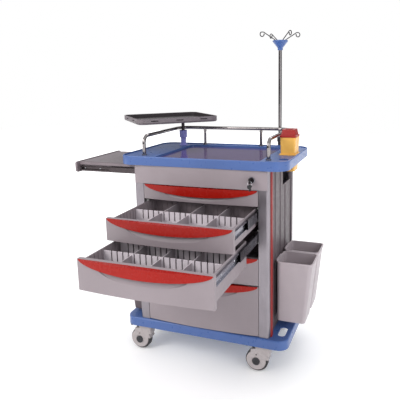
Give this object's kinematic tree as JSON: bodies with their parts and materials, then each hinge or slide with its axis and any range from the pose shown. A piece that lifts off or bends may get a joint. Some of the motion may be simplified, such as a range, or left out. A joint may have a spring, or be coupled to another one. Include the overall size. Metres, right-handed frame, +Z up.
{
  "type": "crash cart",
  "caption": "Hospital emergency trolley: telescopic drawers, sliding side shelf, turning equipment tray, infusion pole, sharps box and lift-off bins on swivel casters with brakes.",
  "frame": {"origin": "on the floor, under the middle of the whole cart's footprint as it stands with its drawers and shelf partly out", "axes": "+Z up, -Y the drawer side, -X the side the shelf pulls out of"},
  "size_m": [1.115, 1.1424, 1.4642],
  "materials": {
    "blue_abs": "satin moulded ABS",
    "grey_abs": "fine textured ABS",
    "drawer_abs": "fine textured ABS",
    "red_handle": "glossy, slightly translucent",
    "red_insert": "soft vinyl",
    "column_aluminium": "anodised satin",
    "frame_steel": "black powder coat",
    "slide_steel": "zinc plated, lightly oiled",
    "chrome_tube": "polished stainless steel",
    "sharps_yellow": "translucent polypropylene",
    "sharps_red": "polypropylene",
    "caster_grey": "glossy nylon",
    "caster_tyre": "smooth rubber",
    "black_plastic": "textured nylon",
    "divider_grey": "extruded PVC"
  },
  "bodies": {
    "root": {"base_tray": "blue_abs", "base_frame": "frame_steel", "corner_columns": "column_aluminium", "column_inserts": "red_insert", "side_panel_left": "grey_abs", "side_panel_right": "grey_abs", "rear_panel": "grey_abs", "front_fascia": "grey_abs", "top_board": "blue_abs", "guard_rail": "chrome_tube", "slide_outer_rails": "frame_steel", "iv_sleeve": "frame_steel", "monitor_post": "blue_abs", "bin_hanger_rail": "frame_steel"},
    "drawer_1": {"drawer_1_box": "drawer_abs", "drawer_1_handle": "red_handle", "drawer_1_inner_rails": "slide_steel"},
    "drawer_1_slide": {"drawer_1_mid_rails": "slide_steel"},
    "drawer_2": {"drawer_2_box": "drawer_abs", "drawer_2_handle": "red_handle", "drawer_2_inner_rails": "slide_steel", "drawer_2_dividers": "divider_grey"},
    "drawer_2_slide": {"drawer_2_mid_rails": "slide_steel"},
    "drawer_3": {"drawer_3_box": "drawer_abs", "drawer_3_handle": "red_handle", "drawer_3_inner_rails": "slide_steel", "drawer_3_dividers": "divider_grey"},
    "drawer_3_slide": {"drawer_3_mid_rails": "slide_steel"},
    "drawer_4": {"drawer_4_box": "drawer_abs", "drawer_4_handle": "red_handle", "drawer_4_inner_rails": "slide_steel"},
    "drawer_4_slide": {"drawer_4_mid_rails": "slide_steel"},
    "drawer_5": {"drawer_5_box": "drawer_abs", "drawer_5_handle": "red_handle", "drawer_5_inner_rails": "slide_steel"},
    "drawer_5_slide": {"drawer_5_mid_rails": "slide_steel"},
    "side_shelf": {"side_shelf_board": "grey_abs", "side_shelf_inner_rails": "slide_steel"},
    "side_shelf_slide": {"side_shelf_mid_rails": "slide_steel"},
    "monitor_tray": {"monitor_tray": "grey_abs", "monitor_spindle": "chrome_tube"},
    "iv_pole": {"iv_pole": "chrome_tube"},
    "iv_head": {"iv_head": "blue_abs", "iv_hooks": "chrome_tube"},
    "iv_clamp_knob": {"iv_clamp_knob": "black_plastic"},
    "sharps_container": {"sharps_container": "sharps_yellow"},
    "sharps_lid": {"sharps_lid": "sharps_red"},
    "waste_bin_front": {"waste_bin_front": "grey_abs"},
    "waste_bin_rear": {"waste_bin_rear": "grey_abs"},
    "lock_key": {"lock_key": "chrome_tube"},
    "caster_fl_swivel": {"caster_fl_housing": "caster_grey"},
    "caster_fl_wheel": {"caster_fl_wheel": "caster_tyre"},
    "caster_fl_brake": {"caster_fl_brake_pedal": "black_plastic"},
    "caster_fr_swivel": {"caster_fr_housing": "caster_grey"},
    "caster_fr_wheel": {"caster_fr_wheel": "caster_tyre"},
    "caster_fr_brake": {"caster_fr_brake_pedal": "black_plastic"},
    "caster_rl_swivel": {"caster_rl_housing": "caster_grey"},
    "caster_rl_wheel": {"caster_rl_wheel": "caster_tyre"},
    "caster_rr_swivel": {"caster_rr_housing": "caster_grey"},
    "caster_rr_wheel": {"caster_rr_wheel": "caster_tyre"}
  },
  "joints": [
    {"name": "drawer_1_pull", "type": "slide", "parent": "root", "child": "drawer_1", "axis": [0, -1, 0], "range_m": [0, 0.52]},
    {"name": "drawer_1_slide_follow", "type": "slide", "parent": "root", "child": "drawer_1_slide", "axis": [0, -1, 0], "range_m": [0, 0.26]},
    {"name": "drawer_2_pull", "type": "slide", "parent": "root", "child": "drawer_2", "axis": [0, -1, 0], "range_m": [-0.305, 0.215]},
    {"name": "drawer_2_slide_follow", "type": "slide", "parent": "root", "child": "drawer_2_slide", "axis": [0, -1, 0], "range_m": [-0.1525, 0.1075]},
    {"name": "drawer_3_pull", "type": "slide", "parent": "root", "child": "drawer_3", "axis": [0, -1, 0], "range_m": [-0.495, 0.025]},
    {"name": "drawer_3_slide_follow", "type": "slide", "parent": "root", "child": "drawer_3_slide", "axis": [0, -1, 0], "range_m": [-0.2475, 0.0125]},
    {"name": "drawer_4_pull", "type": "slide", "parent": "root", "child": "drawer_4", "axis": [0, -1, 0], "range_m": [0, 0.52]},
    {"name": "drawer_4_slide_follow", "type": "slide", "parent": "root", "child": "drawer_4_slide", "axis": [0, -1, 0], "range_m": [0, 0.26]},
    {"name": "drawer_5_pull", "type": "slide", "parent": "root", "child": "drawer_5", "axis": [0, -1, 0], "range_m": [0, 0.52]},
    {"name": "drawer_5_slide_follow", "type": "slide", "parent": "root", "child": "drawer_5_slide", "axis": [0, -1, 0], "range_m": [0, 0.26]},
    {"name": "side_shelf_pull", "type": "slide", "parent": "root", "child": "side_shelf", "axis": [-1, 0, 0], "range_m": [-0.316, 0.011]},
    {"name": "side_shelf_slide_follow", "type": "slide", "parent": "root", "child": "side_shelf_slide", "axis": [-1, 0, 0], "range_m": [-0.158, 0.0055]},
    {"name": "monitor_tray_turn", "type": "hinge", "parent": "root", "child": "monitor_tray", "pos_m": [-0.1645, 0.35226, 1.001], "axis": [0, 0, 1], "continuous": true},
    {"name": "iv_pole_raise", "type": "slide", "parent": "root", "child": "iv_pole", "axis": [0, 0, 1], "range_m": [0, 0.33]},
    {"name": "iv_head_turn", "type": "hinge", "parent": "iv_pole", "child": "iv_head", "pos_m": [0.3175, 0.43026, 1.38], "axis": [0, 0, 1], "continuous": true},
    {"name": "iv_clamp_knob_turn", "type": "hinge", "parent": "root", "child": "iv_clamp_knob", "pos_m": [0.3505, 0.43026, 0.959], "axis": [1, 0, 0], "range_deg": [0, 270]},
    {"name": "sharps_container_lift", "type": "slide", "parent": "root", "child": "sharps_container", "axis": [0, 0, 1], "range_m": [0, 0.2]},
    {"name": "sharps_lid_open", "type": "hinge", "parent": "sharps_container", "child": "sharps_lid", "pos_m": [0.42175, 0.23026, 0.998], "axis": [-1, 0, 0], "range_deg": [0, 110]},
    {"name": "waste_bin_front_lift", "type": "slide", "parent": "root", "child": "waste_bin_front", "axis": [0, 0, 1], "range_m": [0, 0.1]},
    {"name": "waste_bin_rear_lift", "type": "slide", "parent": "root", "child": "waste_bin_rear", "axis": [0, 0, 1], "range_m": [0, 0.1]},
    {"name": "lock_key_turn", "type": "hinge", "parent": "root", "child": "lock_key", "pos_m": [0.3225, -0.06274, 0.852], "axis": [0, -1, 0], "range_deg": [0, 90]},
    {"name": "caster_fl_swivel", "type": "hinge", "parent": "root", "child": "caster_fl_swivel", "pos_m": [-0.2015, -0.02374, 0.126], "axis": [0, 0, 1], "continuous": true},
    {"name": "caster_fl_roll", "type": "hinge", "parent": "caster_fl_swivel", "child": "caster_fl_wheel", "pos_m": [-0.2395, -0.02374, 0.05], "axis": [0, 1, 0], "continuous": true},
    {"name": "caster_fl_brake_press", "type": "hinge", "parent": "caster_fl_swivel", "child": "caster_fl_brake", "pos_m": [-0.2515, -0.02374, 0.113], "axis": [0, -1, 0], "range_deg": [0, 12]},
    {"name": "caster_fr_swivel", "type": "hinge", "parent": "root", "child": "caster_fr_swivel", "pos_m": [0.3695, -0.02374, 0.126], "axis": [0, 0, 1], "continuous": true},
    {"name": "caster_fr_roll", "type": "hinge", "parent": "caster_fr_swivel", "child": "caster_fr_wheel", "pos_m": [0.3315, -0.02374, 0.05], "axis": [0, 1, 0], "continuous": true},
    {"name": "caster_fr_brake_press", "type": "hinge", "parent": "caster_fr_swivel", "child": "caster_fr_brake", "pos_m": [0.3195, -0.02374, 0.113], "axis": [0, -1, 0], "range_deg": [0, 12]},
    {"name": "caster_rl_swivel", "type": "hinge", "parent": "root", "child": "caster_rl_swivel", "pos_m": [-0.2015, 0.36226, 0.126], "axis": [0, 0, 1], "continuous": true},
    {"name": "caster_rl_roll", "type": "hinge", "parent": "caster_rl_swivel", "child": "caster_rl_wheel", "pos_m": [-0.2395, 0.36226, 0.05], "axis": [0, 1, 0], "continuous": true},
    {"name": "caster_rr_swivel", "type": "hinge", "parent": "root", "child": "caster_rr_swivel", "pos_m": [0.3695, 0.36226, 0.126], "axis": [0, 0, 1], "continuous": true},
    {"name": "caster_rr_roll", "type": "hinge", "parent": "caster_rr_swivel", "child": "caster_rr_wheel", "pos_m": [0.3315, 0.36226, 0.05], "axis": [0, 1, 0], "continuous": true}
  ],
  "couplings": [
    {"joint": "drawer_1_slide_follow", "follows": "drawer_1_pull", "ratio": 0.5},
    {"joint": "drawer_2_slide_follow", "follows": "drawer_2_pull", "ratio": 0.5},
    {"joint": "drawer_3_slide_follow", "follows": "drawer_3_pull", "ratio": 0.5},
    {"joint": "drawer_4_slide_follow", "follows": "drawer_4_pull", "ratio": 0.5},
    {"joint": "drawer_5_slide_follow", "follows": "drawer_5_pull", "ratio": 0.5},
    {"joint": "side_shelf_slide_follow", "follows": "side_shelf_pull", "ratio": 0.5}
  ]
}
